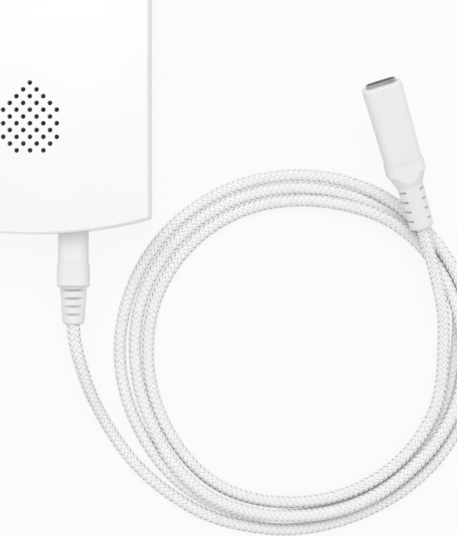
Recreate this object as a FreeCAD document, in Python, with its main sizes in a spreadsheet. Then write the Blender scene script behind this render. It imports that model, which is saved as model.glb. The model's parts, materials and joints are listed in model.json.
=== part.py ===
# Water leak sensor: a white battery-powered case that lies on its flat back, with a drop of sound
# holes over its siren, and a white braided sensing cord that plugs in under its lower edge.
# The cord lies in a loose coil beside the case and ends in a socket for a further cord.
# Frame: millimetres, +Z out of the front, +Y towards the top edge, origin under the case's middle.
import FreeCAD, Part
import math
import os
import re
from types import SimpleNamespace

import Sketcher
from FreeCAD import Placement, Rotation, Vector

SIZES = {
    # Case: straight sides, bowed ends, a domed front
    "case_width": 66.0,
    "case_height": 86.0,
    "case_depth": 30.0,
    "end_bow_radius": 126.0,
    "dome_radius": 260.0,
    "case_corner_radius": 1.1,
    "inner_corner_radius": 1.5,
    "front_edge_bevel": 0.5,
    "back_edge_bevel": 0.8,
    "shell_wall": 2.0,
    "fit_gap": 0.2,
    "reach": 1.0,
    # Back cover
    "cover_depth": 4.0,
    "cover_plate": 2.8,
    "lip_wall": 1.0,
    "lip_top": 6.4,
    # Screws that hold the case together
    "case_screw_side_inset": 6.4,
    "case_screw_end_inset": 10.0,
    "case_post_diameter": 7.4,
    "case_post_top": 8.0,
    "case_boss_diameter": 6.0,
    "case_head_diameter": 5.4,
    "case_head_height": 1.8,
    "case_head_seat": 5.0,
    "case_shank_diameter": 2.9,
    "case_shank_length": 11.0,
    "screw_clearance": 0.2,
    "pilot_clearance": 0.05,
    "recess_width": 0.8,
    "recess_length": 3.0,
    "recess_depth": 1.1,
    # Battery bay, its door and the two cells
    "cell_diameter": 14.5,
    "cell_length": 50.5,
    "cell_nub_diameter": 5.5,
    "cell_nub_length": 1.2,
    "cell_edge_bevel": 0.6,
    "cell_gap": 0.5,
    "cell_lift": 0.3,
    "bay_y": 5.0,
    "bay_wall": 1.8,
    "bay_roof": 1.2,
    "spring_room": 3.2,
    "contact_thickness": 0.4,
    "contact_height": 9.0,
    "contact_width": 9.0,
    "door_thickness": 2.0,
    "door_ledge": 1.0,
    "door_corner_radius": 2.0,
    "door_foot": 8.0,
    "door_hook_width": 5.0,
    "door_hook_length": 2.6,
    "door_hook_height": 1.2,
    "door_hook_x": 9.0,
    "door_screw_inset": 4.2,
    "door_boss_diameter": 6.0,
    "door_boss_top": 10.0,
    "door_head_diameter": 4.6,
    "door_head_height": 1.2,
    "door_shank_diameter": 2.3,
    "door_shank_length": 6.0,
    # Keyholes in the back for hanging the case on two screws
    "keyhole_side_inset": 9.0,
    "keyhole_y": 14.0,
    "keyhole_head": 8.0,
    "keyhole_slot": 4.0,
    "keyhole_rise": 7.0,
    "keyhole_lip": 1.6,
    "keyhole_depth": 3.6,
    "keyhole_wall": 1.2,
    # Circuit board
    "board_inset": 3.0,
    "board_gap": 0.3,
    "board_thickness": 1.6,
    "board_notch_gap": 0.8,
    "board_screw_side_inset": 10.0,
    "board_screw_top_inset": 23.0,
    "board_screw_low_inset": 19.0,
    "board_post_diameter": 5.4,
    "board_head_diameter": 4.4,
    "board_head_height": 1.4,
    "board_shank_diameter": 2.1,
    "board_shank_length": 5.0,
    # Radio
    "radio_x": 8.0,
    "radio_top_inset": 21.0,
    "radio_width": 17.0,
    "radio_length": 14.0,
    "radio_height": 2.4,
    "radio_edge_radius": 0.5,
    "antenna_top_inset": 9.5,
    "antenna_length": 18.0,
    "antenna_clearance": 0.5,
    "antenna_thickness": 0.4,
    "antenna_leg": 1.6,
    "antenna_gap": 5.0,
    # Siren behind the drop of sound holes
    "drop_y": -10.25,
    "hole_diameter": 1.38,
    "hole_column_half_pitch": 1.87,
    "hole_row_pitch": 1.886,
    "siren_diameter": 24.0,
    "siren_ring_wall": 1.2,
    "siren_ring_bottom": 22.6,
    "siren_rim_width": 2.2,
    "siren_rim_depth": 0.6,
    "siren_port_diameter": 3.0,
    "siren_port_depth": 2.0,
    "siren_gasket_width": 2.6,
    "siren_gasket_thickness": 1.2,
    "mesh_thickness": 0.3,
    "land_depth": 3.1,
    # Plug that stands in the inlet under the case's lower edge
    "plug_x": 11.0,
    "plug_seat_depth": 1.7,
    "plug_wide": 10.6,
    "plug_narrow": 8.4,
    "plug_corner_radius": 3.0,
    "plug_length": 10.2,
    "plug_collar_wide": 11.0,
    "plug_collar_narrow": 9.0,
    "plug_collar_length": 6.1,
    "plug_shoulder_length": 0.7,
    "plug_relief_root": 7.6,
    "plug_relief_tip": 6.3,
    "plug_relief_length": 10.5,
    "plug_slot_first": 0.4,
    "plug_slot_pitch": 2.31,
    # Socket on the cord's far end
    "socket_wide": 11.2,
    "socket_narrow": 8.8,
    "socket_rear_wide": 10.6,
    "socket_rear_narrow": 8.4,
    "socket_corner_radius": 2.6,
    "socket_length": 23.2,
    "socket_collar_wide": 11.2,
    "socket_collar_narrow": 8.9,
    "socket_collar_length": 3.2,
    "socket_shoulder_length": 4.1,
    "socket_relief_root": 7.6,
    "socket_relief_tip": 7.0,
    "socket_relief_length": 13.1,
    "socket_slot_first": 0.9,
    "socket_slot_pitch": 2.95,
    "socket_swing": 17.4,
    "socket_tilt": 15.0,
    "mouth_wide": 8.8,
    "mouth_high": 4.0,
    "mouth_wall": 0.35,
    "mouth_depth": 6.5,
    "mouth_lip": 0.95,
    "mouth_tongue_wide": 6.4,
    "mouth_tongue_thick": 0.9,
    "mouth_tongue_inset": 0.5,
    "mouth_base": 1.2,
    "contact_strip_width": 0.5,
    "contact_strip_pitch": 1.0,
    "contact_strip_thick": 0.1,
    "contact_strip_inset": 0.8,
    # Strain reliefs of both ends
    "slot_width": 0.7,
    "relief_core": 4.4,
    "relief_bridge": 4.0,
    "tip_bevel": 0.6,
    "collar_reach": 8.0,
    # Metal plug and the inlet it stands in
    "shell_wide": 8.3,
    "shell_high": 2.5,
    "shell_thick": 0.3,
    "shell_length": 6.6,
    "shell_root": 2.0,
    "inlet_gap": 0.06,
    "inlet_thick": 0.28,
    "inlet_length": 7.3,
    "inlet_front_gap": 0.1,
    "inlet_base": 1.2,
    "inlet_tongue_wide": 6.6,
    "inlet_tongue_thick": 0.7,
    "inlet_tongue_length": 5.0,
    # Sensing cord
    "cord_diameter": 3.6,
    "coil_x": 75.1,
    "coil_y": -77.1,
    "coil_inner_radius": 41.0,
    "coil_outer_radius": 54.0,
    "coil_height": 7.4,
    "coil_edge_bevel": 1.2,
    "tail_length": 30.0,
    "socket_end_x": 111.1,
    "socket_end_y": -41.0,
    "socket_end_z": 11.0,
}
size = SimpleNamespace(**SIZES)

# Middle of the cord by hand: straight out of the plug's relief, measured from its end,
# then down to the table and up onto the coil's other turns, measured in the frame.
# The tube ends and the coil's own stub starts half-way between the last two lists.
PLUG_EXIT = [
    (0.0, 0.0, 0.0),
    (0.0, -3.7, 0.0),
    (1.6, -10.4, -0.7),
]
LEAD_IN = [
    (14.9, -87.6, 9.2),
    (18.7, -96.4, 4.0),
    (23.9, -105.0, 1.8),
    (30.3, -112.6, 1.8),
]
COIL_ENTRY = [
    (38.6, -119.3, 2.2),
    (48.6, -125.0, 4.6),
    (59.8, -128.0, 5.4),
]

# Sound holes in each row of the drop, from its point down.
DROP_ROWS = [1, 2, 3, 4, 5, 4, 5, 4, 5, 4, 3]

doc = FreeCAD.newDocument("water_leak_sensor")
sheet = doc.addObject("Spreadsheet::Sheet", "Sizes")
for row, (alias, number) in enumerate(SIZES.items(), start=1):
    sheet.set(f"A{row}", alias)
    sheet.set(f"B{row}", str(number))
    sheet.setAlias(f"B{row}", alias)
doc.recompute()


def formula(text):
    """An expression in which each size is read from the sheet."""
    return re.sub(r"[A-Za-z_]\w*", lambda word: f"Sizes.{word[0]}" if word[0] in SIZES else word[0], text)


def bind(item, bindings):
    for name, text in bindings.items():
        item.setExpression(name, formula(text))
    return item


def put(item, x, y, z):
    return bind(item, {"Placement.Base.x": x, "Placement.Base.y": y, "Placement.Base.z": z})


def box(name, length, width, bottom, top, x="0", y="0"):
    """A box about the point (x, y)."""
    item = doc.addObject("Part::Box", name)
    bind(item, {"Length": length, "Width": width, "Height": f"({top}) - ({bottom})"})
    return put(item, f"({x}) - ({length}) / 2", f"({y}) - ({width}) / 2", bottom)


def cylinder(name, diameter, bottom, top, x="0", y="0"):
    item = doc.addObject("Part::Cylinder", name)
    bind(item, {"Radius": f"({diameter}) / 2", "Height": f"({top}) - ({bottom})"})
    return put(item, x, y, bottom)


def joined(name, pieces):
    item = doc.addObject("Part::MultiFuse", name)
    item.Shapes = pieces
    return item


def grouped(name, pieces):
    """Separate solids kept as one sub-part."""
    item = doc.addObject("Part::Compound", name)
    item.Links = pieces
    return item


def cut(name, base, tools):
    item = doc.addObject("Part::Cut", name)
    item.Base = base
    item.Tool = tools[0] if len(tools) == 1 else joined(f"{name}_tools", tools)
    return item


def common(name, base, tool):
    item = doc.addObject("Part::Common", name)
    item.Base = base
    item.Tool = tool
    return item


def new_sketch(body, plane="XY_Plane", offset="0"):
    """A sketch on one of the body's own origin planes, moved along its normal by offset."""
    sketch = body.newObject("Sketcher::SketchObject", f"{body.Name}_sketch")
    origin_plane = next(item for item in body.Origin.OriginFeatures if item.Role == plane)
    sketch.AttachmentSupport = [(origin_plane, "")]
    sketch.MapMode = "FlatFace"
    return bind(sketch, {"AttachmentOffset.Base.z": offset})


def constrain(sketch, *rule, to=None):
    index = sketch.addConstraint(Sketcher.Constraint(*rule))
    if to is not None:
        bind(sketch, {f"Constraints[{index}]": to})


def fix_point(sketch, line, end, x, y):
    """Hold one end of a line, or the centre of a circle, at the point (x, y) of the sketch."""
    constrain(sketch, "DistanceX", -1, 1, line, end, 1.0, to=x)
    constrain(sketch, "DistanceY", -1, 1, line, end, 1.0, to=y)


def polygon(sketch, points):
    """A closed outline through points, each a pair of expressions."""
    count = len(points)
    turns = [2 * math.pi * k / count for k in range(count)]
    ring = [Vector(math.cos(turn), math.sin(turn), 0) for turn in turns]
    first = sketch.GeometryCount
    for k in range(count):
        sketch.addGeometry(Part.LineSegment(ring[k], ring[(k + 1) % count]), False)
    for k, (x, y) in enumerate(points):
        constrain(sketch, "Coincident", first + k - 1 if k else first + count - 1, 2, first + k, 1)
        fix_point(sketch, first + k, 1, x, y)


def rectangle(sketch, length, width, x="0", y="0"):
    sides = [(-1, -1), (1, -1), (1, 1), (-1, 1)]
    polygon(sketch, [(f"({x}) + {i} * ({length}) / 2", f"({y}) + {j} * ({width}) / 2") for i, j in sides])


def circle(sketch, diameter, x="0", y="0"):
    index = sketch.addGeometry(Part.Circle(Vector(0, 0, 0), Vector(0, 0, 1), 1.0), False)
    constrain(sketch, "Radius", index, 1.0, to=f"({diameter}) / 2")
    fix_point(sketch, index, 3, x, y)


def oval(sketch, length, width):
    """A straight-sided oval about the sketch's origin, longer in X."""
    for side in (1, -1):
        centre = Vector(4 * side, 0, 0)
        turn = 0 if side > 0 else math.pi
        whole = Part.Circle(centre, Vector(0, 0, 1), 2)
        sketch.addGeometry(Part.ArcOfCircle(whole, turn - math.pi / 2, turn + math.pi / 2), False)
        fix_point(sketch, 0 if side > 0 else 1, 3, f"{side} * (({length}) - ({width})) / 2", "0")
    sketch.addGeometry(Part.LineSegment(Vector(4, 2, 0), Vector(-4, 2, 0)), False)
    sketch.addGeometry(Part.LineSegment(Vector(-4, -2, 0), Vector(4, -2, 0)), False)
    constrain(sketch, "Radius", 0, 2.0, to=f"({width}) / 2")
    constrain(sketch, "Equal", 0, 1)
    constrain(sketch, "Tangent", 0, 2, 2, 1)
    constrain(sketch, "Tangent", 2, 2, 1, 1)
    constrain(sketch, "Tangent", 1, 2, 3, 1)
    constrain(sketch, "Tangent", 3, 2, 0, 1)


def pad(body, sketch, length):
    feature = body.newObject("PartDesign::Pad", f"{body.Name}_pad")
    feature.Profile = sketch
    return bind(feature, {"Length": length})


def revolution(body, sketch):
    feature = body.newObject("PartDesign::Revolution", f"{body.Name}_turn")
    feature.Profile = sketch
    feature.ReferenceAxis = (sketch, ["V_Axis"])
    feature.Angle = 360
    return feature


def edges_of(feature, wanted):
    """Names of the feature's edges for which wanted(edge) is true."""
    doc.recompute()
    return [f"Edge{k}" for k, edge in enumerate(feature.Shape.Edges, start=1) if wanted(edge)]


def along_z(edge):
    start, end = edge.Vertexes[0].Point, edge.Vertexes[-1].Point
    return abs(end.z - start.z) > 0.01 and edge.Curve.TypeId == "Part::GeomLine"


def at_height(z):
    return lambda edge: all(abs(vertex.Z - z) < 0.001 for vertex in edge.Vertexes)


def fillet(body, feature, wanted, radius):
    rounded = body.newObject("PartDesign::Fillet", f"{body.Name}_fillet")
    rounded.Base = (feature, edges_of(feature, wanted))
    return bind(rounded, {"Radius": radius})


def rounded_block(name, length, width, bottom, top, corner, x="0", y="0"):
    """An upright block about (x, y) with rounded corners."""
    body = doc.addObject("PartDesign::Body", name)
    sketch = new_sketch(body, offset=bottom)
    rectangle(sketch, length, width, x, y)
    block = pad(body, sketch, f"({top}) - ({bottom})")
    fillet(body, block, along_z, corner)
    return body


def oval_block(name, length, width, bottom, top):
    body = doc.addObject("PartDesign::Body", name)
    sketch = new_sketch(body, offset=bottom)
    oval(sketch, length, width)
    pad(body, sketch, f"({top}) - ({bottom})")
    return body


def case_block(name, inset, bottom, top, corner="inner_corner_radius"):
    """The case's outline drawn in by inset, from bottom to top."""
    half_width, radius = size.case_width / 2, size.end_bow_radius
    middle = radius - size.case_height / 2
    swing = math.asin(half_width / radius)
    corner_y = radius * math.cos(swing) - middle
    body = doc.addObject("PartDesign::Body", name)
    sketch = new_sketch(body, offset=bottom)
    top_circle = Part.Circle(Vector(0, -middle, 0), Vector(0, 0, 1), radius)
    low_circle = Part.Circle(Vector(0, middle, 0), Vector(0, 0, 1), radius)
    left = Part.LineSegment(Vector(-half_width, corner_y, 0), Vector(-half_width, -corner_y, 0))
    right = Part.LineSegment(Vector(half_width, -corner_y, 0), Vector(half_width, corner_y, 0))
    sketch.addGeometry(Part.ArcOfCircle(top_circle, math.pi / 2 - swing, math.pi / 2 + swing), False)
    sketch.addGeometry(left, False)
    sketch.addGeometry(Part.ArcOfCircle(low_circle, 1.5 * math.pi - swing, 1.5 * math.pi + swing), False)
    sketch.addGeometry(right, False)
    for line, following in ((0, 1), (1, 2), (2, 3), (3, 0)):
        constrain(sketch, "Coincident", line, 2, following, 1)
    for line, side in ((1, -1), (3, 1)):
        constrain(sketch, "Vertical", line)
        constrain(sketch, "DistanceX", -1, 1, line, 1, side * half_width,
                  to=f"{side} * (case_width / 2 - ({inset}))")
    for arc, side in ((0, -1), (2, 1)):
        constrain(sketch, "PointOnObject", arc, 3, -2)
        constrain(sketch, "DistanceY", -1, 1, arc, 3, side * middle,
                  to=f"{side} * (end_bow_radius - case_height / 2)")
        constrain(sketch, "Radius", arc, radius, to=f"end_bow_radius - ({inset})")
    block = pad(body, sketch, f"({top}) - ({bottom})")
    fillet(body, block, along_z, corner)
    return body


def dome(name, inset):
    """The large ball whose top is the case's front, with its poles away from it."""
    ball = doc.addObject("Part::Sphere", name)
    bind(ball, {"Radius": f"dome_radius - ({inset})"})
    ball.Placement = Placement(Vector(0, 0, 0), Rotation(Vector(1, 0, 0), 90))
    return put(ball, "0", "0", "case_depth - dome_radius")


def on_edges(kind, name, base, wanted, reach):
    """A Part fillet or chamfer on the base's edges for which wanted(edge) is true."""
    doc.recompute()
    item = doc.addObject(kind, name)
    item.Base = base
    item.Edges = [(k, reach, reach) for k, edge in enumerate(base.Shape.Edges, start=1) if wanted(edge)]
    return item


def corners(x, y):
    """The four points at plus and minus x and y, as expressions."""
    return [(f"{i} * {x}", f"{j} * {y}") for i in (1, -1) for j in (1, -1)]


CELL_Z = "(door_thickness + cell_lift + cell_diameter / 2)"
BAY_CEILING = "(door_thickness + 2 * cell_lift + cell_diameter)"
BOARD_BOTTOM = f"({BAY_CEILING} + bay_roof + board_gap)"
BOARD_TOP = f"({BOARD_BOTTOM} + board_thickness)"
LAND = "(case_depth - land_depth)"
MESH_BOTTOM = f"({LAND} - mesh_thickness)"
SIREN_TOP = f"({MESH_BOTTOM} - siren_gasket_thickness)"
CASE_POINTS = corners("(case_width / 2 - case_screw_side_inset)", "(case_height / 2 - case_screw_end_inset)")
BOARD_HIGH, BOARD_LOW = "case_height / 2 - board_screw_top_inset", "board_screw_low_inset - case_height / 2"
BOARD_POINTS = [(f"{side} * (case_width / 2 - board_screw_side_inset)", y)
                for side in (1, -1) for y in (BOARD_HIGH, BOARD_LOW)]


def front_shell():
    """Domed front moulding with its bosses, siren ring, sound holes and the opening for the plug."""
    block = case_block("shell_block", "0", "cover_depth", "case_depth", "case_corner_radius")
    domed = common("shell_dome", block, dome("outer_dome", "0"))
    ball_centre = Vector(0, 0, size.case_depth - size.dome_radius)

    def on_dome(edge):
        return all(abs(vertex.Point.distanceToPoint(ball_centre) - size.dome_radius) < 0.01
                   for vertex in edge.Vertexes)

    bevelled = on_edges("Part::Chamfer", "shell_bevelled", domed, on_dome, size.front_edge_bevel)
    inside = case_block("space_block", "shell_wall", "cover_depth - reach", "case_depth")
    space = common("shell_space", inside, dome("inner_dome", "shell_wall"))
    bore = "(siren_diameter + 2 * fit_gap)"
    outside = cylinder("ring_outside", f"{bore} + 2 * siren_ring_wall", "siren_ring_bottom", "case_depth",
                       y="drop_y")
    hollow = cylinder("ring_inside", bore, "siren_ring_bottom - reach", LAND, y="drop_y")
    left_solid = [cut("siren_ring", outside, [hollow])]
    for x, y in CASE_POINTS:
        left_solid.append(cylinder("case_boss", "case_boss_diameter", "case_post_top", "case_depth", x, y))
    for x, y in BOARD_POINTS:
        left_solid.append(cylinder("board_post", "board_post_diameter", BOARD_TOP, "case_depth", x, y))
    tools = [cut("shell_hollow", space, left_solid), sound_holes(), plug_opening()]
    for x, y in CASE_POINTS:
        tools.append(cylinder("case_pilot", "case_shank_diameter + 2 * pilot_clearance",
                              "case_post_top - reach", "case_head_seat + case_shank_length + reach", x, y))
    for x, y in BOARD_POINTS:
        tools.append(cylinder("board_pilot", "board_shank_diameter + 2 * pilot_clearance",
                              f"{BOARD_TOP} - reach", f"{BOARD_BOTTOM} + board_shank_length + reach / 2", x, y))
    return cut("front_shell", bevelled, tools)


def sound_holes():
    """Forty round holes in a drop, in rows that each move half a pitch across."""
    body = doc.addObject("PartDesign::Body", "sound_holes")
    sketch = new_sketch(body, offset=f"{LAND} - reach")
    for row, count in enumerate(DROP_ROWS):
        y = f"drop_y + {len(DROP_ROWS) // 2 - row} * hole_row_pitch"
        for k in range(count):
            circle(sketch, "hole_diameter", f"{2 * k - (count - 1)} * hole_column_half_pitch", y)
    pad(body, sketch, "land_depth + 2 * reach")
    return body


def plug_opening():
    """The rounded opening in the lower wall that the plug's sleeve stands in."""
    body = doc.addObject("PartDesign::Body", "plug_opening")
    sketch = new_sketch(body, "XZ_Plane", "case_height / 2 - 4 * shell_wall")
    rectangle(sketch, "plug_narrow + 2 * fit_gap", "plug_wide + 2 * fit_gap", "plug_x", PLUG_Z)
    block = pad(body, sketch, "5 * shell_wall")
    fillet(body, block, lambda edge: edge.BoundBox.YLength > size.shell_wall, "plug_corner_radius + fit_gap")
    return body


BAY_LENGTH = "(cell_length + spring_room + 2 * contact_thickness)"
BAY_WIDTH = "(2 * cell_diameter + 3 * cell_gap)"
BAY_HIGH = f"(bay_y + {BAY_LENGTH} / 2)"
BAY_LOW = f"(bay_y - {BAY_LENGTH} / 2)"
DOOR_WIDTH = f"({BAY_WIDTH} + 2 * door_ledge)"
DOOR_HIGH = f"({BAY_HIGH} + door_ledge)"
DOOR_LOW = f"({BAY_LOW} - door_foot)"
DOOR_SCREW_Y = f"({DOOR_LOW} + door_screw_inset)"


def spanning(name, length, low, high, bottom, top, x="0"):
    """A box between two places along the case."""
    return box(name, length, f"({high}) - ({low})", bottom, top, x, f"(({low}) + ({high})) / 2")


def back_cover():
    """Flat back with the battery bay, screw posts and keyholes, and a lip that enters the shell."""
    tray = case_block("cover_block", "0", "0", "cover_depth", "case_corner_radius")
    tray = on_edges("Part::Chamfer", "cover_bevelled", tray, at_height(0), size.back_edge_bevel)
    lip_outside = case_block("lip_block", "shell_wall + fit_gap", "cover_plate", "lip_top")
    room = case_block("cover_room", "shell_wall + fit_gap + lip_wall", "cover_plate", "lip_top + reach")
    rim = cut("cover_rim", joined("cover_with_lip", [tray, lip_outside]), [room])
    bay = spanning("bay_outside", f"{BAY_WIDTH} + 2 * bay_wall", f"{BAY_LOW} - bay_wall",
                   f"{BAY_HIGH} + bay_wall", "door_thickness", f"{BAY_CEILING} + bay_roof")
    foot = spanning("door_seat", f"{DOOR_WIDTH} + 2 * bay_wall", f"{DOOR_LOW} - bay_wall", BAY_LOW,
                    "door_thickness", "cover_plate + door_thickness")
    boss = cylinder("door_boss", "door_boss_diameter", "door_thickness", "door_boss_top", y=DOOR_SCREW_Y)
    solid = [rim, bay, foot, boss]
    clear = "2 * fit_gap"
    holes = [
        spanning("bay_inside", BAY_WIDTH, BAY_LOW, BAY_HIGH, "door_thickness - reach", BAY_CEILING),
        rounded_block("door_recess", f"{DOOR_WIDTH} + {clear}", f"{DOOR_HIGH} - {DOOR_LOW} + {clear}",
                      "0 - reach", "door_thickness", "door_corner_radius + fit_gap",
                      y=f"({DOOR_HIGH} + {DOOR_LOW}) / 2"),
        cylinder("door_pilot", "door_shank_diameter + 2 * pilot_clearance", "0", "door_boss_top - reach",
                 y=DOOR_SCREW_Y),
    ]
    for x in ("door_hook_x", "-1 * door_hook_x"):
        holes.append(spanning("hook_slot", f"door_hook_width + {clear}", f"{BAY_HIGH} - reach",
                              f"{DOOR_HIGH} + door_hook_length + fit_gap", "door_thickness",
                              "door_thickness + door_hook_height + fit_gap", x))
    for x in ("-1 * (cell_diameter + cell_gap) / 2", "(cell_diameter + cell_gap) / 2"):
        holes.append(spanning("tab_slot", "contact_width / 3 + fit_gap * 2",
                              f"{BAY_HIGH} - 2 * contact_thickness", BAY_HIGH, f"{BAY_CEILING} - reach",
                              f"{BAY_CEILING} + bay_roof + reach", x))
    for x, y in CASE_POINTS:
        solid.append(cylinder("case_post", "case_post_diameter", "cover_plate", "case_post_top", x, y))
        holes.append(cylinder("head_bore", "case_head_diameter + 2 * screw_clearance", "0 - reach",
                              "case_head_seat", x, y))
        holes.append(cylinder("shank_bore", "case_shank_diameter + 2 * screw_clearance", "0",
                              "case_post_top + reach", x, y))
    for side in (1, -1):
        x, high = f"{side} * (case_width / 2 - keyhole_side_inset)", "keyhole_y + keyhole_rise"
        pad_width = "keyhole_head + 2 * keyhole_wall"
        solid.append(spanning("keyhole_pad", pad_width, f"keyhole_y - ({pad_width}) / 2",
                              f"{high} + ({pad_width}) / 2", "cover_plate",
                              "keyhole_depth + keyhole_wall", x))
        holes.append(cylinder("keyhole_mouth", "keyhole_head", "0 - reach", "keyhole_depth", x, "keyhole_y"))
        holes.append(cylinder("keyhole_neck", "keyhole_slot", "0 - reach", "keyhole_depth", x, high))
        holes.append(spanning("keyhole_way", "keyhole_slot", "keyhole_y", high, "0 - reach",
                              "keyhole_depth", x))
        holes.append(cylinder("keyhole_pocket", "keyhole_head", "keyhole_lip", "keyhole_depth", x, high))
        holes.append(spanning("keyhole_run", "keyhole_head", "keyhole_y", high, "keyhole_lip",
                              "keyhole_depth", x))
    return cut("back_cover", joined("cover_solid", solid), holes)


def battery_door():
    """Flush door over the bay, with two hooks at its upper edge and a screw at its lower one."""
    plate = rounded_block("door_plate", DOOR_WIDTH, f"{DOOR_HIGH} - {DOOR_LOW}", "0", "door_thickness",
                          "door_corner_radius", y=f"({DOOR_HIGH} + {DOOR_LOW}) / 2")
    pieces = [plate]
    for x in ("door_hook_x", "-1 * door_hook_x"):
        pieces.append(spanning("door_hook", "door_hook_width", BAY_HIGH, f"{DOOR_HIGH} + door_hook_length",
                               "door_thickness", "door_thickness + door_hook_height", x))
    holes = [
        cylinder("door_shank_bore", "door_shank_diameter + 2 * screw_clearance", "0 - reach",
                 "door_thickness + reach", y=DOOR_SCREW_Y),
        cylinder("door_head_bore", "door_head_diameter + 2 * screw_clearance", "0 - reach",
                 "door_head_height", y=DOOR_SCREW_Y),
    ]
    return cut("battery_door", joined("door_solid", pieces), holes)


def screw(name, prefix, head_bottom, x, y):
    """A pan-head screw that points up, with a cross recess in its head."""
    head_top = f"({head_bottom} + {prefix}_head_height)"
    head = cylinder(f"{name}_head", f"{prefix}_head_diameter", head_bottom, head_top, x, y)
    shank = cylinder(f"{name}_shank", f"{prefix}_shank_diameter", head_top,
                     f"{head_top} + {prefix}_shank_length", x, y)
    deep = f"({head_bottom} + recess_depth * {prefix}_head_height / case_head_height)"
    recess = [box("recess", "recess_length", "recess_width", f"{head_bottom} - reach", deep, x, y),
              box("recess", "recess_width", "recess_length", f"{head_bottom} - reach", deep, x, y)]
    return cut(name, joined(f"{name}_solid", [head, shank]), recess)


def case_screws():
    bottom = "(case_head_seat - case_head_height)"
    return grouped("case_screws", [screw("case_screw", "case", bottom, x, y) for x, y in CASE_POINTS])


def board_screws():
    bottom = f"({BOARD_BOTTOM} - board_head_height)"
    return grouped("board_screws", [screw("board_screw", "board", bottom, x, y) for x, y in BOARD_POINTS])


def door_screw():
    return screw("battery_door_screw", "door", "0", "0", DOOR_SCREW_Y)


def battery_cell(name, side):
    """A cell along Y, with its nub towards +Y on the left and towards -Y on the right."""
    body = doc.addObject("PartDesign::Body", name)
    sketch = new_sketch(body, "XZ_Plane")
    can, side_x = "(cell_length - cell_nub_length)", "cell_diameter / 2"
    rim_x, nub_x = f"{side_x} - cell_edge_bevel", "cell_nub_diameter / 2"
    polygon(sketch, [("0", "0"), (rim_x, "0"), (side_x, "cell_edge_bevel"),
                     (side_x, f"{can} - cell_edge_bevel"), (rim_x, can), (nub_x, can), (nub_x, "cell_length"),
                     ("0", "cell_length")])
    revolution(body, sketch)
    body.Placement = Placement(Vector(0, 0, 0), Rotation(Vector(1, 0, 0), 90 * side))
    flat_end = f"{BAY_LOW} + contact_thickness + spring_room"
    if side > 0:
        flat_end = f"{BAY_HIGH} - contact_thickness - spring_room"
    return put(body, f"{side} * (cell_diameter + cell_gap) / 2", flat_end,
               "door_thickness + cell_lift + cell_diameter / 2")


def spring_arch(name, side, x, face):
    """Half ring of spring strip that stands on a contact plate and presses on a cell."""
    low, high = f"{CELL_Z} - contact_height / 3", f"{CELL_Z} + contact_height / 3"
    ring = cut(f"{name}_ring", cylinder(f"{name}_outside", "2 * spring_room", low, high, x, face),
               [cylinder(f"{name}_inside", "2 * (spring_room - contact_thickness)", f"{low} - reach",
                         f"{high} + reach", x, face)])
    kept = box(f"{name}_half", "2 * spring_room", "spring_room", low, high, x,
               f"{face} + {side} * spring_room / 2")
    return common(name, ring, kept)


def contact_plate(name, length, low, high, top, x):
    return spanning(name, length, low, high, f"{CELL_Z} - contact_height / 2", top, x)


def battery_contacts():
    """Contact plates on the bay's end walls: two at the top with board tabs, one bridge below."""
    left, right = "-1 * (cell_diameter + cell_gap) / 2", "(cell_diameter + cell_gap) / 2"
    made = []
    for name, x in (("battery_contact_plus", left), ("battery_contact_minus", right)):
        low = f"{BAY_HIGH} - contact_thickness"
        plate = contact_plate(f"{name}_plate", "contact_width", low, BAY_HIGH,
                              f"{CELL_Z} + contact_height / 2", x)
        tab = spanning(f"{name}_tab", "contact_width / 3", low, BAY_HIGH, CELL_Z, BOARD_BOTTOM, x)
        pieces = [plate, tab]
        if x == right:
            pieces.append(spring_arch("minus_arch", -1, x, low))
        made.append(joined(name, pieces))
    face = f"{BAY_LOW} + contact_thickness"
    plate = contact_plate("bridge_plate", f"{BAY_WIDTH} - 2 * cell_gap", BAY_LOW, face,
                          f"{CELL_Z} + contact_height / 2", "0")
    made.append(joined("battery_bridge", [plate, spring_arch("bridge_arch", 1, left, face)]))
    return made


def main_board():
    """Circuit board, notched round the case bosses."""
    board = case_block("board_block", "board_inset", BOARD_BOTTOM, BOARD_TOP)
    holes = [cylinder("board_notch", "case_boss_diameter + 2 * board_notch_gap", f"{BOARD_BOTTOM} - reach",
                      f"{BOARD_TOP} + reach", x, y) for x, y in CASE_POINTS]
    holes += [cylinder("board_hole", "board_shank_diameter + 2 * screw_clearance", f"{BOARD_BOTTOM} - reach",
                       f"{BOARD_TOP} + reach", x, y) for x, y in BOARD_POINTS]
    return cut("main_board", board, holes)


def radio_shield():
    return rounded_block("radio_shield", "radio_width", "radio_length", BOARD_TOP,
                         f"{BOARD_TOP} + radio_height", "radio_edge_radius", "radio_x",
                         "case_height / 2 - radio_top_inset")


def antenna():
    """Folded strip on two legs along the board's upper end, as high as the dome over its ends allows."""
    middle = "(case_height / 2 - antenna_top_inset)"
    low, high = f"{middle} - antenna_thickness / 2", f"({middle} + antenna_thickness / 2)"
    rise = f"sqrt((dome_radius - shell_wall)^2 - {high}^2 - (antenna_length / 2)^2)"
    top = f"(case_depth - dome_radius + {rise} - antenna_clearance)"
    bar = spanning("antenna_bar", "antenna_length", low, high, f"{top} - antenna_leg", top)
    end = "(antenna_leg - antenna_length) / 2"
    legs = [spanning("antenna_leg_piece", "antenna_leg", low, high, BOARD_TOP, top, x)
            for x in (end, f"{end} + antenna_gap")]
    return joined("antenna", [bar, *legs])


def siren():
    """Round sounder on the board, with a raised rim and a sound port in its face."""
    can = cylinder("siren_can", "siren_diameter", BOARD_TOP, SIREN_TOP, y="drop_y")
    holes = [cylinder("siren_face", "siren_diameter - 2 * siren_rim_width", f"{SIREN_TOP} - siren_rim_depth",
                      f"{SIREN_TOP} + reach", y="drop_y"),
             cylinder("siren_port", "siren_port_diameter", f"{SIREN_TOP} - siren_port_depth",
                      f"{SIREN_TOP} + reach", y="drop_y")]
    return cut("siren", can, holes)


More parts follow.
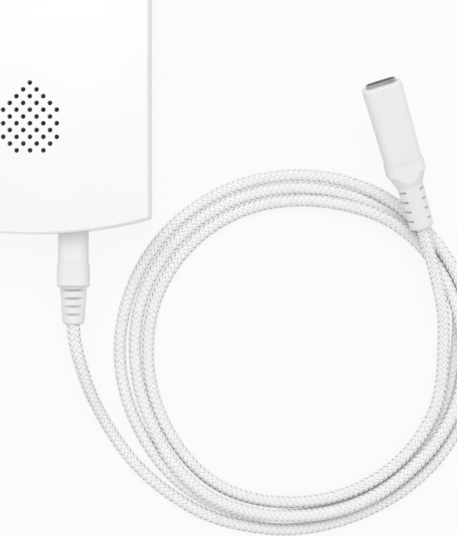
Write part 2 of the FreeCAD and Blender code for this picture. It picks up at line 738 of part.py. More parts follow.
def siren_gasket():
    ring = cylinder("gasket_outside", "siren_diameter", SIREN_TOP, MESH_BOTTOM, y="drop_y")
    return cut("siren_gasket", ring, [cylinder("gasket_inside", "siren_diameter - 2 * siren_gasket_width",
                                               f"{SIREN_TOP} - reach", f"{MESH_BOTTOM} + reach", y="drop_y")])


def sound_mesh():
    return cylinder("sound_mesh", "siren_diameter", MESH_BOTTOM, LAND, y="drop_y")


# The inlet stands on edge under the board.
PLUG_Z = f"({BOARD_BOTTOM} - shell_wide / 2 - inlet_gap - inlet_thick)"


# Both ends of the cord are drawn upright: Z runs from the mating face to the cord, X is the wide side.
def socket_direction():
    """Unit vector from the cord to the socket's mouth."""
    swing, tilt = math.radians(size.socket_swing), math.radians(size.socket_tilt)
    return Vector(-math.sin(swing) * math.cos(tilt), math.cos(swing) * math.cos(tilt), math.sin(tilt))


def socket_end():
    return Vector(size.socket_end_x, size.socket_end_y, size.socket_end_z)


def socket_place():
    length = (size.socket_length + size.socket_collar_length + size.socket_shoulder_length
              + size.socket_relief_length)
    swing = math.radians(size.socket_swing)
    down = socket_direction() * -1
    across = Vector(math.cos(swing), math.sin(swing), 0)
    return Placement(socket_end() - down * length, Rotation(across, down.cross(across), down))


def strain_relief(name, end, start, corner):
    """Collar, shoulder and taper moulded on the cord, from the height start.

    Slots ring the taper down to a core round the cord and leave a bridge on each narrow side.
    """
    collar = f"({start} + {end}_collar_length)"
    root = f"({collar} + {end}_shoulder_length)"
    tip = f"({root} + {end}_relief_length)"
    body = doc.addObject("PartDesign::Body", f"{name}_turned")
    sketch = new_sketch(body, "XZ_Plane")
    polygon(sketch, [("0", start), ("collar_reach", start), ("collar_reach", collar),
                     (f"{end}_collar_wide / 2", collar), (f"{end}_relief_root / 2", root),
                     (f"{end}_relief_tip / 2", f"{tip} - tip_bevel"),
                     (f"{end}_relief_tip / 2 - tip_bevel", tip),
                     ("0", tip)])
    revolution(body, sketch)
    prism = rounded_block(f"{name}_prism", f"{end}_collar_wide", f"{end}_collar_narrow", start, tip, corner)
    moulded = common(f"{name}_moulded", body, prism)
    discs = []
    for k in range(4):
        low = f"{root} + {end}_slot_first + {k} * {end}_slot_pitch"
        discs.append(cylinder("relief_slot", "2 * collar_reach", low, f"{low} + slot_width"))
    kept = [cylinder(f"{name}_core", "relief_core", root, tip),
            box(f"{name}_bridges", "relief_bridge", "2 * collar_reach", root, tip)]
    return cut(name, moulded, [cut(f"{name}_slots", joined(f"{name}_discs", discs), kept)])


def plug_pieces():
    sleeve = cut("plug_sleeve", rounded_block("sleeve_block", "plug_wide", "plug_narrow", "0", "plug_length",
                                              "plug_corner_radius"),
                 [oval_block("shell_seat", "shell_wide", "shell_high", "0 - reach", "shell_root")])
    relief = strain_relief("plug_strain_relief", "plug", "plug_length", "plug_corner_radius")
    shell = cut("plug_shell", oval_block("plug_shell_block", "shell_wide", "shell_high", "0 - shell_length",
                                         "shell_root"),
                [oval_block("plug_shell_bore", "shell_wide - 2 * shell_thick", "shell_high - 2 * shell_thick",
                            "0 - shell_length - reach", "shell_root + reach")])
    front, back = "(0 - inlet_front_gap)", "(0 - inlet_front_gap - inlet_length)"
    hollow_wide, hollow_high = "(shell_wide + 2 * inlet_gap)", "(shell_high + 2 * inlet_gap)"
    outer_wide, outer_high = f"{hollow_wide} + 2 * inlet_thick", f"{hollow_high} + 2 * inlet_thick"
    inlet = cut("inlet_shell", oval_block("inlet_block", outer_wide, outer_high, back, front),
                [oval_block("inlet_bore", hollow_wide, hollow_high, f"{back} - reach", f"{front} + reach")])
    base = oval_block("inlet_base_block", outer_wide, outer_high, f"{back} - inlet_base", back)
    tongue = box("inlet_tongue_bar", "inlet_tongue_wide", "inlet_tongue_thick", f"{back} - inlet_base / 2",
                 f"{back} + inlet_tongue_length")
    tongue = joined("inlet_tongue", [base, tongue])
    pieces = [sleeve, relief, shell, inlet, tongue]
    turn = Rotation(Vector(0, 0, 1), Vector(-1, 0, 0), Vector(0, -1, 0))
    for piece in pieces:
        piece.Placement = Placement(Vector(0, 0, 0), turn)
        put(piece, "plug_x", "plug_seat_depth - case_height / 2", PLUG_Z)
    return pieces


def socket_sleeve():
    """Long sleeve, a little wider at its mouth, with the metal mouth's seat in its end."""
    wedge = doc.addObject("Part::Wedge", "socket_wedge")
    bind(wedge, {"Xmin": "0 - socket_wide / 2", "Xmax": "socket_wide / 2",
                 "Zmin": "0 - socket_narrow / 2", "Zmax": "socket_narrow / 2",
                 "X2min": "0 - socket_rear_wide / 2", "X2max": "socket_rear_wide / 2",
                 "Z2min": "0 - socket_rear_narrow / 2", "Z2max": "socket_rear_narrow / 2",
                 "Ymin": "0", "Ymax": "socket_length"})
    wedge.Placement = Placement(Vector(0, 0, 0), Rotation(Vector(1, 0, 0), 90))
    sleeve = on_edges("Part::Fillet", "socket_corners", wedge,
                      lambda edge: edge.BoundBox.ZLength > size.socket_length / 2, size.socket_corner_radius)
    sleeve = on_edges("Part::Fillet", "socket_rounded", sleeve, at_height(0), size.tip_bevel)
    return cut("socket_sleeve", sleeve, [oval_block("mouth_seat", "mouth_wide", "mouth_high", "0 - reach",
                                                    "mouth_depth + mouth_base")])


def socket_pieces():
    relief = strain_relief("socket_strain_relief", "socket", "socket_length", "socket_corner_radius")
    block = oval_block("mouth_block", "mouth_wide", "mouth_high", "0 - mouth_lip", "mouth_depth")
    shell = cut("socket_shell", block,
                [oval_block("mouth_bore", "mouth_wide - 2 * mouth_wall", "mouth_high - 2 * mouth_wall",
                            "0 - mouth_lip - reach", "mouth_depth + reach")])
    base = oval_block("mouth_base_block", "mouth_wide", "mouth_high", "mouth_depth",
                      "mouth_depth + mouth_base")
    front = "(mouth_tongue_inset - mouth_lip)"
    bar = box("mouth_tongue_bar", "mouth_tongue_wide", "mouth_tongue_thick", front,
              "mouth_depth + mouth_base / 2")
    tongue = joined("socket_tongue", [base, bar])
    strips = []
    for side in (1, -1):
        for k in range(-2, 3):
            strips.append(box("contact_strip", "contact_strip_width", "contact_strip_thick",
                              f"{front} + contact_strip_inset", "mouth_depth", f"{k} * contact_strip_pitch",
                              f"{side} * (mouth_tongue_thick + contact_strip_thick) / 2"))
    pieces = [socket_sleeve(), relief, shell, tongue, grouped("socket_contacts", strips)]
    for piece in pieces:
        piece.Placement = socket_place()
    return pieces


def tube_path(points):
    """Straight runs joined by tangent arcs, each as large as its two runs allow."""
    edges, start, radii = [], points[0], []
    for before, corner, after in zip(points, points[1:], points[2:]):
        inward, outward = (corner - before), (after - corner)
        turn = inward.getAngle(outward)
        setback = 0.45 * min(inward.Length, outward.Length)
        radii.append(setback / math.tan(turn / 2))
        inward.normalize()
        outward.normalize()
        enter, leave = corner - inward * setback, corner + outward * setback
        bisector = (outward - inward).normalize()
        depth = radii[-1] / math.cos(turn / 2) - radii[-1]
        edges.append(Part.LineSegment(start, enter).toShape())
        edges.append(Part.Arc(enter, corner + bisector * depth, leave).toShape())
        start = leave
    edges.append(Part.LineSegment(start, points[-1]).toShape())
    print("cord radii", [round(radius, 1) for radius in radii])
    return Part.Wire(edges)


def cord_tube(name, points):
    """A plain tube of the cord's diameter along the route."""
    path = tube_path(points)
    radius = size.cord_diameter / 2
    section = Part.Wire(Part.Circle(points[0], points[1] - points[0], radius).toShape())
    tube = doc.addObject("Part::Feature", name)
    tube.Shape = path.makePipeShell([section], True, False)
    print(name, "length", round(path.Length, 2), "volume ratio",
          round(tube.Shape.Volume / (math.pi * radius ** 2 * path.Length), 4))
    return tube


def coil_meeting():
    """Where the tube meets the coil's stub, face to face."""
    return (Vector(*LEAD_IN[-1]) + Vector(*COIL_ENTRY[0])) * 0.5


def sensor_cord():
    """The cord from the end of the plug's relief to the coil."""
    relief = doc.getObject("plug_strain_relief")
    doc.recompute()
    exit_point = Vector(relief.Placement.Base.x, relief.Shape.BoundBox.YMin, relief.Placement.Base.z)
    route = [exit_point + Vector(*offset) for offset in PLUG_EXIT]
    return cord_tube("sensor_cord", [*route, *(Vector(*point) for point in LEAD_IN), coil_meeting()])


def socket_tail():
    """Straight stub of cord from the socket's relief down into the coil."""
    item = doc.addObject("Part::Cylinder", "socket_tail")
    bind(item, {"Radius": "cord_diameter / 2", "Height": "tail_length"})
    item.Placement = Placement(socket_end(), Rotation(Vector(0, 0, 1), socket_direction() * -1))
    return item


def sensor_cord_coil():
    """The coil's outer shape, with a stub where the cord comes in and one where it leaves."""
    body = doc.addObject("PartDesign::Body", "coil_ring")
    sketch = new_sketch(body, "XZ_Plane")
    inner, outer, bevel = "coil_inner_radius", "coil_outer_radius", "coil_edge_bevel"
    polygon(sketch, [(inner, bevel), (f"{inner} + {bevel}", "0"), (f"{outer} - {bevel}", "0"), (outer, bevel),
                     (outer, f"coil_height - {bevel}"), (f"{outer} - {bevel}", "coil_height"),
                     (f"{inner} + {bevel}", "coil_height"), (inner, f"coil_height - {bevel}")])
    revolution(body, sketch)
    put(body, "coil_x", "coil_y", "0")
    entry = cord_tube("entry_tail", [coil_meeting(), *(Vector(*point) for point in COIL_ENTRY)])
    return joined("sensor_cord_coil", [body, entry, socket_tail()])


SUB_PARTS = [
    front_shell(),
    back_cover(),
    battery_door(),
    case_screws(),
    door_screw(),
    battery_cell("battery_cell_left", -1),
    battery_cell("battery_cell_right", 1),
    *battery_contacts(),
    main_board(),
    board_screws(),
    radio_shield(),
    antenna(),
    siren(),
    siren_gasket(),
    sound_mesh(),
    *plug_pieces(),
    *socket_pieces(),
    sensor_cord(),
    sensor_cord_coil(),
]

doc.recompute()
for item in doc.Objects:
    if "Invalid" in item.State or "Error" in item.State:
        raise RuntimeError(f"{item.Name} failed: {item.State}")
for item in SUB_PARTS:
    item.Label = item.Name
    if item.Shape.isNull() or not item.Shape.isValid():
        raise RuntimeError(f"{item.Name} has no valid shape")

os.makedirs("parts", exist_ok=True)
for item in SUB_PARTS:
    item.Shape.exportStep(f"parts/{item.Label}.step")
    print(item.Label, len(item.Shape.Solids), "solid(s)", round(item.Shape.Volume, 1))
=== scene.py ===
"""Looks for the water leak sensor: braided cord, moulded plastic, metal and inner parts."""

import json
import math

import bpy
import numpy as np
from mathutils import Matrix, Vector


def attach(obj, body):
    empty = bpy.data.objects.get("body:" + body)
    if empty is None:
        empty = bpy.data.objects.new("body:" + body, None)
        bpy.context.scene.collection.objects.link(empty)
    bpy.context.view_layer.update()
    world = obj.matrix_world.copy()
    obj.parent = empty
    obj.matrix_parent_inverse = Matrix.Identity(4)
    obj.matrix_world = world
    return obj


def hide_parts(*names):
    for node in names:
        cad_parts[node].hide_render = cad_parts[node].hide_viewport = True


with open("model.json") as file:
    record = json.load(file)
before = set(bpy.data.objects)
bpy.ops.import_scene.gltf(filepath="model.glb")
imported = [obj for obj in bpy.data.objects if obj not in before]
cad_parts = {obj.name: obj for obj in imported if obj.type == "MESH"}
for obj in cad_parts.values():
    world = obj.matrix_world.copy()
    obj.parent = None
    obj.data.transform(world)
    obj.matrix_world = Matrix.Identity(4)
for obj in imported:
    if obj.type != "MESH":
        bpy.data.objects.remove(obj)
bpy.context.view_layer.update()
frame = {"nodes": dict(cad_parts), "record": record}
scene = bpy.context.scene
scene.view_settings.view_transform = "Standard"


# Camera: straight above, as the photograph was taken.
camera_data = bpy.data.cameras.new("camera")
camera_data.sensor_width = 36.0
camera_data.lens = 137.4
camera_data.clip_start = 0.01
camera_data.clip_end = 20.0
camera_data.shift_y = -0.0436
camera = bpy.data.objects.new("camera", camera_data)
camera.location = (0.0554, -0.0460, 0.600)
scene.collection.objects.link(camera)
scene.camera = camera


# Cord route, in millimetres and degrees.
LOW = 1.86  # height of the cord's middle where it lies on the floor
LEAD = [    # follows the CAD tube down from the plug, then stays on the floor beside the turns
    (11.0, -68.8, 14.11), (11.0, -72.5, 14.11), (12.6, -79.2, 13.41), (14.9, -87.6, 9.2),
    (18.7, -96.4, 4.0), (23.9, -105.0, LOW), (30.3, -112.6, LOW), (38.6, -119.3, LOW),
    (48.6, -125.2, LOW), (59.8, -128.3, LOW),
]
COIL_MIDDLE = (75.1, -77.1)
COIL = [    # angle, radius and height of the cord's middle, as the turns lie in the photograph
    # First turn: on the floor but for the upper right, where it lies over the second.
    (-100, 52.7, LOW), (-88, 51.9, LOW), (-76, 51.2, LOW), (-64, 51.0, LOW), (-50, 51.5, LOW),
    (-30, 52.3, LOW), (-10, 52.6, LOW), (0, 52.5, 2.0), (8, 52.3, 3.1), (16, 52.0, 4.6),
    (24, 51.8, 5.4), (40, 51.6, 5.4), (50, 51.7, 4.7), (62, 51.9, 3.2), (76, 51.7, LOW),
    (92, 51.4, LOW), (120, 51.3, LOW), (163, 51.4, LOW), (180, 51.6, LOW), (210, 51.1, LOW),
    (228, 51.4, LOW), (240, 50.8, LOW), (252, 49.6, LOW),
    # Second turn: on the floor until it climbs over the end of the first at the lower left.
    (264, 48.3, LOW), (276, 47.6, LOW), (288, 47.3, LOW), (302, 47.1, LOW), (318, 46.7, LOW),
    (332, 46.4, LOW), (345, 46.3, LOW), (357, 46.5, LOW), (366, 47.3, LOW), (375, 48.9, LOW),
    (384, 50.5, LOW), (392, 50.9, LOW), (402, 50.0, LOW), (420, 48.5, LOW), (450, 47.6, LOW),
    (510, 47.5, LOW), (525, 47.5, LOW), (545, 46.9, LOW), (566, 47.0, 2.6), (584, 48.6, 4.4),
    (600, 49.2, 5.4), (616, 48.4, 5.6),
    # Third turn: over the second from the bottom to the upper right, then down inside it.
    (632, 47.7, 5.6), (650, 47.7, 5.6), (670, 47.6, 5.4), (682, 48.1, 5.2), (696, 49.0, 5.0),
    (714, 49.3, 5.0), (724, 48.8, 5.3), (732, 48.3, 5.6), (740, 48.0, 5.3), (748, 48.0, 4.5),
    (757, 47.8, 4.3), (766, 47.4, 4.7), (780, 46.2, 4.8), (789, 45.0, 4.0), (800, 44.2, 2.7),
    (812, 43.9, 1.9), (870, 43.6, LOW), (885, 43.5, LOW), (900, 43.2, LOW), (930, 43.7, LOW),
    (958, 45.4, LOW), (976, 44.8, 2.2),
    # The rest: innermost, rising towards the socket.
    (990, 44.0, 2.9), (1004, 43.8, 3.5), (1020, 43.8, 4.0), (1040, 43.7, 4.7), (1060, 43.7, 5.0),
    (1080, 43.3, 5.1),
]
TURNS_FROM, TURNS_TO, STEP_DEGREES = -92.0, 1072.0, 15.0
RISE = [(118.1, -72.4, 5.5), (117.6, -64.8, 7.2)]  # from the last turn up to the socket
SOCKET_END = np.array((111.1, -41.0, 11.0))        # where the cord ends, in the socket
SOCKET_WAY = np.array((-0.2889, 0.9217, 0.2588))   # the socket's axis, raised 15 degrees
SOCKET_RUN = (15.0, 8.0, 3.0, 0.0)                 # distances of the last points before that end

# Braid, in metres.
CORD_DIAMETER = 0.0036
CARRIERS = 8             # each way round
CARRIER_PITCH = 0.0130   # a carrier's advance in one turn round the cord
CARRIER_WIDTH = 0.00102
SAMPLES = 2              # along a carrier from one crossing to the next
CROWN = CORD_DIAMETER / 2 + 0.00006  # radius of a carrier's middle where it lies on top
CROWN_SPREAD = 0.00002   # standard deviation of that radius
DIP = 0.00038            # how much lower a carrier is where it passes under
EDGE_DROP = 0.00018      # how much lower its edges are than its middle
WEAVE_STEEPNESS = 0.95   # how quickly it goes from over to under
YARN_SHIFT = 0.0137      # between one carrier's yarn and the next one's, so that they differ
CORE_DROP = 0.00052      # from the crown down to the core
CORE_SIDES = 8
CORE_EVERY = 4           # samples along the cord between the core's rings
BUNCH = 0.10             # how much thicker the braid is at the plug
BUNCH_FULL = 0.006       # it is that thick up to here
BUNCH_FADE = 0.026       # and thins out over this length

# Materials and light.
NOISE_SPAN = (0.3, 0.7)  # nearly all values of a noise lie between these
FLOOR_DROP = 0.0001      # keeps the floor clear of the part's flat back, in metres
FLOOR_SHADE = 0.74
WHITE_SHARE = 0.88       # of plain white in the floor, to the camera and in reflections
WORLD_STRENGTH = 0.72


def smooth_between(x, xs, ys):
    """Monotone cubic through the points of a table."""
    xs, ys = np.asarray(xs, float), np.asarray(ys, float)
    slope = np.diff(ys) / np.diff(xs)
    tangent = np.zeros_like(ys)
    for k in range(1, len(ys) - 1):
        if slope[k - 1] * slope[k] > 0:
            tangent[k] = 2 * slope[k - 1] * slope[k] / (slope[k - 1] + slope[k])
    k = np.clip(np.searchsorted(xs, x) - 1, 0, len(xs) - 2)
    width = xs[k + 1] - xs[k]
    t = (x - xs[k]) / width
    return ((2 * t ** 3 - 3 * t ** 2 + 1) * ys[k] + (t ** 3 - 2 * t ** 2 + t) * width * tangent[k]
            + (3 * t ** 2 - 2 * t ** 3) * ys[k + 1] + (t ** 3 - t ** 2) * width * tangent[k + 1])


def cord_route():
    """All control points: the lead-in as listed, the turns by a loop, then up to the socket."""
    points = [np.array(p) for p in LEAD]
    angles, radii, heights = zip(*COIL)
    spread = 1 / math.cos(math.radians(STEP_DEGREES / 2))  # the spline runs inside its points
    turn = TURNS_FROM
    while turn < TURNS_TO:
        radius = smooth_between(turn, angles, radii) * spread
        height = smooth_between(turn, angles, heights)
        points.append(np.array((COIL_MIDDLE[0] + radius * math.cos(math.radians(turn)),
                                COIL_MIDDLE[1] + radius * math.sin(math.radians(turn)), height)))
        turn += STEP_DEGREES
    points += [np.array(p) for p in RISE]
    points += [SOCKET_END - SOCKET_WAY * back for back in SOCKET_RUN]
    return [tuple(float(v) for v in p / 1000) for p in points]


def smooth_line(points):
    """Points along the NURBS spline that has these control points."""
    curve = bpy.data.curves.new("cord_line", "CURVE")
    curve.dimensions = "3D"
    spline = curve.splines.new("NURBS")
    spline.points.add(len(points) - 1)
    for point, place in zip(spline.points, points):
        point.co = (*place, 1.0)
    spline.order_u = 3
    spline.use_endpoint_u = True
    spline.resolution_u = 14
    line = bpy.data.objects.new("cord_line", curve)
    scene.collection.objects.link(line)
    bpy.context.view_layer.update()
    mesh = bpy.data.meshes.new_from_object(line.evaluated_get(bpy.context.evaluated_depsgraph_get()))
    found = np.array([v.co[:] for v in mesh.vertices])
    bpy.data.meshes.remove(mesh)
    bpy.data.objects.remove(line)
    bpy.data.curves.remove(curve)
    return found


def framed(line, step):
    """Distances and points at even steps on the line, with a side and an up that don't twist."""
    along = np.concatenate([[0], np.cumsum(np.linalg.norm(np.diff(line, axis=0), axis=1))])
    count = int(along[-1] / step)
    marks = np.linspace(0, along[-1], count + 1)
    points = np.stack([np.interp(marks, along, line[:, k]) for k in range(3)], axis=1)
    way = np.gradient(points, axis=0)
    way /= np.linalg.norm(way, axis=1)[:, None]
    side = np.zeros_like(points)
    side[0] = np.cross(way[0], (0, 0, 1))
    side[0] /= np.linalg.norm(side[0])
    for k in range(1, len(points)):
        moved = side[k - 1] - way[k] * np.dot(side[k - 1], way[k])
        side[k] = moved / np.linalg.norm(moved)
    return marks, points, side, np.cross(way, side)


route = cord_route()
marks, points, side, up = framed(smooth_line(route), CARRIER_PITCH / (2 * CARRIERS * SAMPLES))
cord_length = float(marks[-1])
noise = np.random.default_rng(7)


def on_cord(s, angle, radius):
    """Points at the distance s along the cord, the angle round it and the radius from its middle."""
    middle, a, b = (np.stack([np.interp(s, marks, rows[:, k]) for k in range(3)], axis=-1)
                    for rows in (points, side, up))
    return middle + radius[..., None] * (a * np.cos(angle)[..., None] + b * np.sin(angle)[..., None])


def swelling(s):
    """Factor on the radius: the braid is bunched a little where it leaves the plug."""
    t = np.clip((s - BUNCH_FULL) / BUNCH_FADE, 0, 1)
    return 1 + BUNCH * (1 - t * t * (3 - 2 * t))


def carrier_strip(way, carrier, first):
    """A carrier's vertices, three across, its quads, and where each vertex lies on its yarn."""
    slant = math.atan2(math.pi * CORD_DIAMETER, CARRIER_PITCH)
    crossing = way * marks * 2 * CARRIERS / CARRIER_PITCH + 2 * carrier
    swing = way * WEAVE_STEEPNESS * np.cos((crossing - 0.5) * math.pi / 2)
    crown = CROWN - DIP * np.clip(0.5 - swing, 0, 1) + noise.normal(0, CROWN_SPREAD, len(marks))
    turn = 2 * math.pi * (carrier / CARRIERS) + way * 2 * math.pi * marks / CARRIER_PITCH
    columns = []
    for place in (-1, 0, 1):
        s = np.clip(marks - way * place * CARRIER_WIDTH / 2 * math.sin(slant), 0, cord_length)
        angle = turn + place * CARRIER_WIDTH / 2 * math.cos(slant) / CROWN
        columns.append(on_cord(s, angle, (crown - abs(place) * EDGE_DROP) * swelling(s)))
    verts = np.stack(columns[::way], axis=1).reshape(-1, 3)
    row, column = np.meshgrid(np.arange(len(marks) - 1), np.arange(2), indexing="ij")
    corner = first + row * 3 + column
    quads = np.stack([corner, corner + 1, corner + 4, corner + 3], axis=-1).reshape(-1, 4)
    yarn_length = (marks / math.cos(slant) + carrier * YARN_SHIFT) * 1000  # in millimetres
    yarn = np.stack([np.tile((0.0, 0.5, 1.0), len(marks)), np.repeat(yarn_length, 3)], axis=1)
    return verts, quads[:, ::-1], yarn


def core_tube(first):
    """The same three for the plain core under the carriers, which shows no yarn."""
    coarse = marks[::CORE_EVERY]
    radius = (CROWN - CORE_DROP) * swelling(coarse)
    angles = np.linspace(0, 2 * math.pi, CORE_SIDES, endpoint=False)
    rings = np.stack([on_cord(coarse, np.full_like(coarse, angle), radius) for angle in angles],
                     axis=1)
    row, column = np.meshgrid(np.arange(len(coarse) - 1), np.arange(CORE_SIDES), indexing="ij")
    beside = (column + 1) % CORE_SIDES
    here, ahead = first + row * CORE_SIDES, first + (row + 1) * CORE_SIDES
    quads = np.stack([here + column, ahead + column, ahead + beside, here + beside], axis=-1)
    return rings.reshape(-1, 3), quads.reshape(-1, 4)[:, ::-1], np.zeros((rings.size // 3, 2))


def braided_cord():
    """Two over, two under: carriers wind both ways round a plain core."""
    made, first = [], 0
    for way in (1, -1):
        for carrier in range(CARRIERS):
            made.append(carrier_strip(way, carrier, first))
            first += len(made[-1][0])
    made.append(core_tube(first))
    verts, faces, yarn = (np.concatenate(arrays) for arrays in zip(*made))
    mesh = bpy.data.meshes.new("sensor_cord_braid")
    mesh.from_pydata(verts.tolist(), [], faces.tolist())
    mesh.polygons.foreach_set("use_smooth", np.ones(len(faces), bool))
    layer = mesh.uv_layers.new(name="yarn")
    layer.data.foreach_set("uv", yarn[faces.reshape(-1)].reshape(-1).astype(np.float32))
    mesh.update()
    piece = bpy.data.objects.new("sensor_cord_braid", mesh)
    scene.collection.objects.link(piece)
    return piece


cord = braided_cord()
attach(cord, "root")
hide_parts("sensor_cord", "sensor_cord_coil")


class Look:
    """A node material built up step by step from the object's own coordinates."""

    def __init__(self, name, **inputs):
        self.material = bpy.data.materials.new(name)
        self.material.use_nodes = True
        self.tree = self.material.node_tree
        self.shader = self.tree.nodes["Principled BSDF"]
        for key, value in inputs.items():
            self.shader.inputs[key.replace("_", " ")].default_value = value
        self.place = self.node("ShaderNodeTexCoord").outputs["Object"]

    def node(self, kind, **settings):
        """A new node; each setting is one of its own or the value of one of its inputs."""
        made = self.tree.nodes.new(kind)
        for key, value in settings.items():
            if hasattr(made, key):
                setattr(made, key, value)
            else:
                made.inputs[key.replace("_", " ")].default_value = value
        return made

    def link(self, out, into):
        self.tree.links.new(out, into)

    def noise(self, scale, detail=3.0, roughness=0.55, stretch=None, place=None):
        """Noise with this many cells a unit of place, drawn out along an axis by stretch."""
        texture = self.node("ShaderNodeTexNoise", Scale=scale, Detail=detail, Roughness=roughness)
        if place is None:
            place = self.place
        if stretch:
            mapping = self.node("ShaderNodeMapping", Scale=stretch)
            self.link(place, mapping.inputs["Vector"])
            place = mapping.outputs["Vector"]
        self.link(place, texture.inputs["Vector"])
        return texture.outputs["Fac"]

    def colours(self, value, first, second, span=NOISE_SPAN):
        """Base colour from the first to the second as the value goes through the span."""
        ramp = self.node("ShaderNodeValToRGB")
        for stop, position, colour in zip(ramp.color_ramp.elements, span, (first, second)):
            stop.position = position
            stop.color = (*colour, 1)
        self.link(value, ramp.inputs["Fac"])
        self.link(ramp.outputs["Color"], self.shader.inputs["Base Color"])

    def rough(self, value, low, high):
        """Roughness from low to high as the value goes through a noise's span."""
        mapped = self.node("ShaderNodeMapRange", From_Min=NOISE_SPAN[0], From_Max=NOISE_SPAN[1],
                           To_Min=low, To_Max=high)
        self.link(value, mapped.inputs["Value"])
        self.link(mapped.outputs["Result"], self.shader.inputs["Roughness"])

    def bump(self, *heights):
        """Bumps in a chain, each a (value, strength, distance); gives the finished material."""
        before = None
        for value, strength, distance in heights:
            bump = self.node("ShaderNodeBump", Strength=strength, Distance=distance)
            self.link(value, bump.inputs["Height"])
            if before:
                self.link(before, bump.inputs["Normal"])
            before = bump.outputs["Normal"]
        self.link(before, self.shader.inputs["Normal"])
        return self.material


def case_plastic():
    look = Look("case_plastic", IOR=1.49)
    grain, cloud = look.noise(3200, 2), look.noise(45, 3)
    look.colours(cloud, (0.945, 0.946, 0.942), (0.96, 0.96, 0.956))
    look.rough(grain, 0.42, 0.56)
    return look.bump((grain, 0.10, 0.00006), (cloud, 0.05, 0.0002))


def soft_moulding():
    look = Look("soft_moulding", IOR=1.46, Subsurface_Weight=0.35, Subsurface_Scale=0.0009,
                Subsurface_Radius=(1.0, 0.98, 0.95))
    grain, cloud = look.noise(2400, 3), look.noise(160, 3)
    look.colours(cloud, (0.860, 0.861, 0.857), (0.885, 0.885, 0.881))
    look.rough(grain, 0.46, 0.62)
    return look.bump((grain, 0.14, 0.00008), (cloud, 0.10, 0.0002))


def cord_braid():
    """Woven yarn, with filaments that run along each carrier."""
    look = Look("cord_braid", IOR=1.45, Roughness=0.8, Sheen_Weight=0.25, Sheen_Roughness=0.5)
    yarn = look.node("ShaderNodeUVMap", uv_map="yarn").outputs["UV"]
    filaments = look.noise(1.0, 2.0, 0.6, stretch=(9.0, 1.1, 1.0), place=yarn)
    cloud = look.noise(420, 3)
    look.colours(cloud, (0.935, 0.937, 0.937), (0.965, 0.965, 0.963))
    return look.bump((filaments, 0.5, 0.00007), (cloud, 0.2, 0.00015))


def metal(name, dark, light, low, high, stretch):
    """Metal with fine drawn lines along the axis whose stretch is small."""
    look = Look(name, Metallic=1.0)
    drawn, cloud = look.noise(900, 4, stretch=stretch), look.noise(300, 3)
    look.colours(cloud, dark, light)
    look.rough(drawn, low, high)
    return look.bump((drawn, 0.12, 0.00003))


def plain(name, dark, light, low, high, grain=1500, height=0.00005):
    """Plain surface with a fine grain; its roughness goes from low to high."""
    look = Look(name)
    fine, cloud = look.noise(grain, 3), look.noise(120, 3)
    look.colours(cloud, dark, light)
    look.rough(fine, low, high)
    return look.bump((fine, 0.15, height))


def woven(name, dark, light, pitch):
    """A plain weave of threads, with this many metres between them."""
    look = Look(name, Roughness=0.85)
    threads = look.node("ShaderNodeTexChecker", Scale=1 / pitch)
    look.link(look.place, threads.inputs["Vector"])
    look.colours(threads.outputs["Fac"], dark, light, span=(0.0, 1.0))
    return look.bump((threads.outputs["Fac"], 0.3, 0.00005))


LOOKS = {"case_plastic": case_plastic(), "soft_moulding": soft_moulding(), "cord_braid": cord_braid()}
for slot, kind, *values in (
    ("connector_metal", metal, (0.40, 0.40, 0.41), (0.58, 0.58, 0.59), 0.18, 0.36, (1, 1, 0.1)),
    ("screw_steel", metal, (0.52, 0.52, 0.53), (0.62, 0.62, 0.63), 0.26, 0.44, (1, 1, 1)),
    ("spring_steel", metal, (0.62, 0.61, 0.60), (0.72, 0.72, 0.71), 0.16, 0.32, (1, 0.1, 1)),
    ("contact_brass", metal, (0.80, 0.62, 0.28), (0.86, 0.70, 0.38), 0.18, 0.34, (1, 1, 0.1)),
    ("contact_plastic", plain, (0.82, 0.80, 0.76), (0.87, 0.86, 0.82), 0.4, 0.55),
    ("board", plain, (0.03, 0.20, 0.09), (0.05, 0.30, 0.14), 0.28, 0.42, 900),
    ("cell_jacket", plain, (0.09, 0.10, 0.12), (0.14, 0.15, 0.17), 0.22, 0.34, 2000),
    ("siren_black", plain, (0.035, 0.035, 0.037), (0.06, 0.06, 0.06), 0.45, 0.6),
    ("mesh_dark", woven, (0.03, 0.03, 0.03), (0.16, 0.16, 0.16), 0.00035),
    ("foam", plain, (0.05, 0.05, 0.05), (0.10, 0.10, 0.10), 0.8, 0.95, 2600, 0.0002),
):
    LOOKS[slot] = kind(slot, *values)

for part in frame["record"]["subparts"]:
    node = frame["nodes"][part["node"]]
    node.data.materials.clear()
    node.data.materials.append(LOOKS[part["material_slot"]])
cord.data.materials.append(LOOKS["cord_braid"])


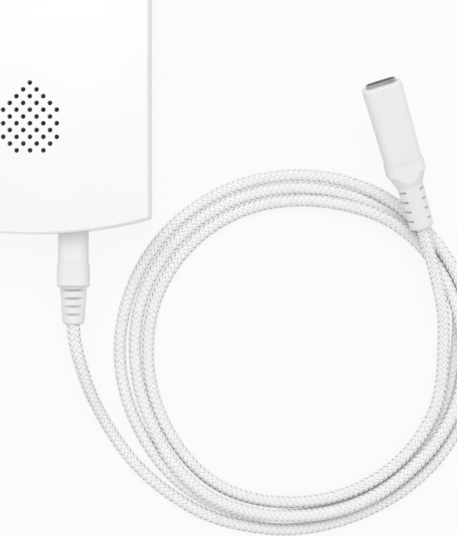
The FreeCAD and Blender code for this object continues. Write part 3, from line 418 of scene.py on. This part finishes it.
def paper():
    """Floor material: near white to the camera and in reflections, with a faint shadow kept."""
    material = bpy.data.materials.new("paper")
    material.use_nodes = True
    tree = material.node_tree
    surface = tree.nodes["Principled BSDF"]
    surface.inputs["Base Color"].default_value = (FLOOR_SHADE, FLOOR_SHADE, FLOOR_SHADE, 1)
    surface.inputs["Roughness"].default_value = 0.9
    glow = tree.nodes.new("ShaderNodeEmission")
    rays = tree.nodes.new("ShaderNodeLightPath")
    seen = rays.outputs["Is Camera Ray"]
    for kind in ("Is Glossy Ray", "Is Transmission Ray"):
        either = tree.nodes.new("ShaderNodeMath")
        either.operation = "MAXIMUM"
        tree.links.new(seen, either.inputs[0])
        tree.links.new(rays.outputs[kind], either.inputs[1])
        seen = either.outputs[0]
    share = tree.nodes.new("ShaderNodeMath")
    share.operation = "MULTIPLY"
    share.inputs[1].default_value = WHITE_SHARE
    mixed = tree.nodes.new("ShaderNodeMixShader")
    tree.links.new(seen, share.inputs[0])
    tree.links.new(share.outputs[0], mixed.inputs["Fac"])
    tree.links.new(surface.outputs[0], mixed.inputs[1])
    tree.links.new(glow.outputs[0], mixed.inputs[2])
    tree.links.new(mixed.outputs[0], tree.nodes["Material Output"].inputs["Surface"])
    return material


bpy.ops.mesh.primitive_plane_add(size=6, location=(0, 0, -FLOOR_DROP))
floor = bpy.context.object
floor.name = "floor"
floor.data.materials.append(paper())

world = bpy.data.worlds.new("world")
scene.world = world
world.use_nodes = True
background = world.node_tree.nodes["Background"]
background.inputs["Color"].default_value = (1, 1, 1, 1)
background.inputs["Strength"].default_value = WORLD_STRENGTH


def soft_light(name, place, aim, size, power):
    """A round area lamp that points at aim."""
    light = bpy.data.lights.new(name, "AREA")
    light.shape = "DISK"
    light.size = size
    light.energy = power
    lamp = bpy.data.objects.new(name, light)
    lamp.location = place
    scene.collection.objects.link(lamp)
    lamp.rotation_mode = "QUATERNION"
    lamp.rotation_quaternion = (Vector(aim) - Vector(place)).to_track_quat("-Z", "Y")


soft_light("overhead", place=(0.03, 0.45, 1.10), aim=(0.05, -0.05, 0), size=0.80, power=4.7)
